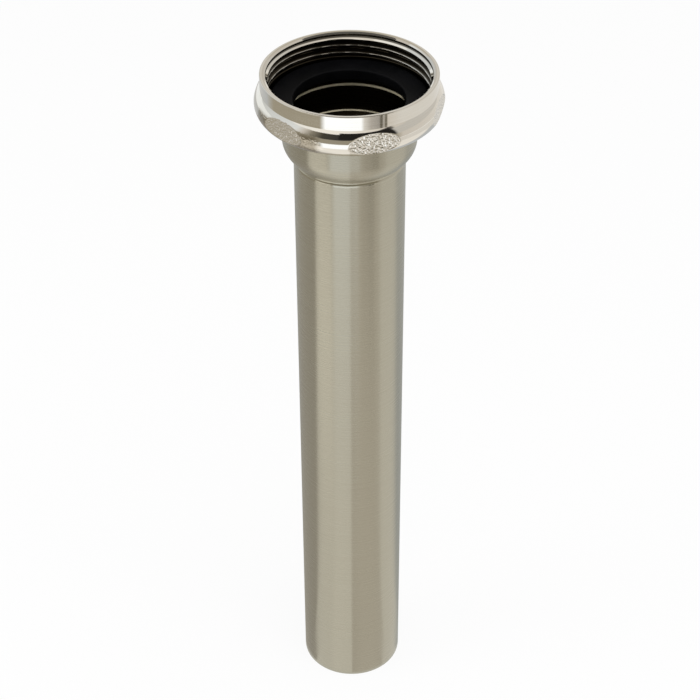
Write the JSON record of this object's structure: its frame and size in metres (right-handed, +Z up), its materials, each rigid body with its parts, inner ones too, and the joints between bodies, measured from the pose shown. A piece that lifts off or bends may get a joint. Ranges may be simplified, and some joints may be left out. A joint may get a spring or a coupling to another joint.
{
  "type": "basin waste tail pipe",
  "caption": "Straight metal tail pipe with a flanged bell top, a turning coupling nut threaded inside, and a flat rubber sealing washer on the flange.",
  "frame": {"origin": "centre of the pipe's cut lower end", "axes": "+Z runs up the pipe towards the coupling nut; +X is 45 degrees from the middle of one of the nut's flats"},
  "size_m": [0.053, 0.053, 0.2211],
  "materials": {
    "pipe_nickel": "satin",
    "nut_nickel": "polished",
    "washer_rubber": "matte"
  },
  "bodies": {
    "pipe": {"tail_pipe": "pipe_nickel", "sealing_washer": "washer_rubber"},
    "nut": {"coupling_nut": "nut_nickel"}
  },
  "joints": [
    {"name": "nut_turn", "type": "hinge", "parent": "pipe", "child": "nut", "pos_m": [0, 0, 0.2069], "axis": [0, 0, 1], "continuous": true}
  ]
}
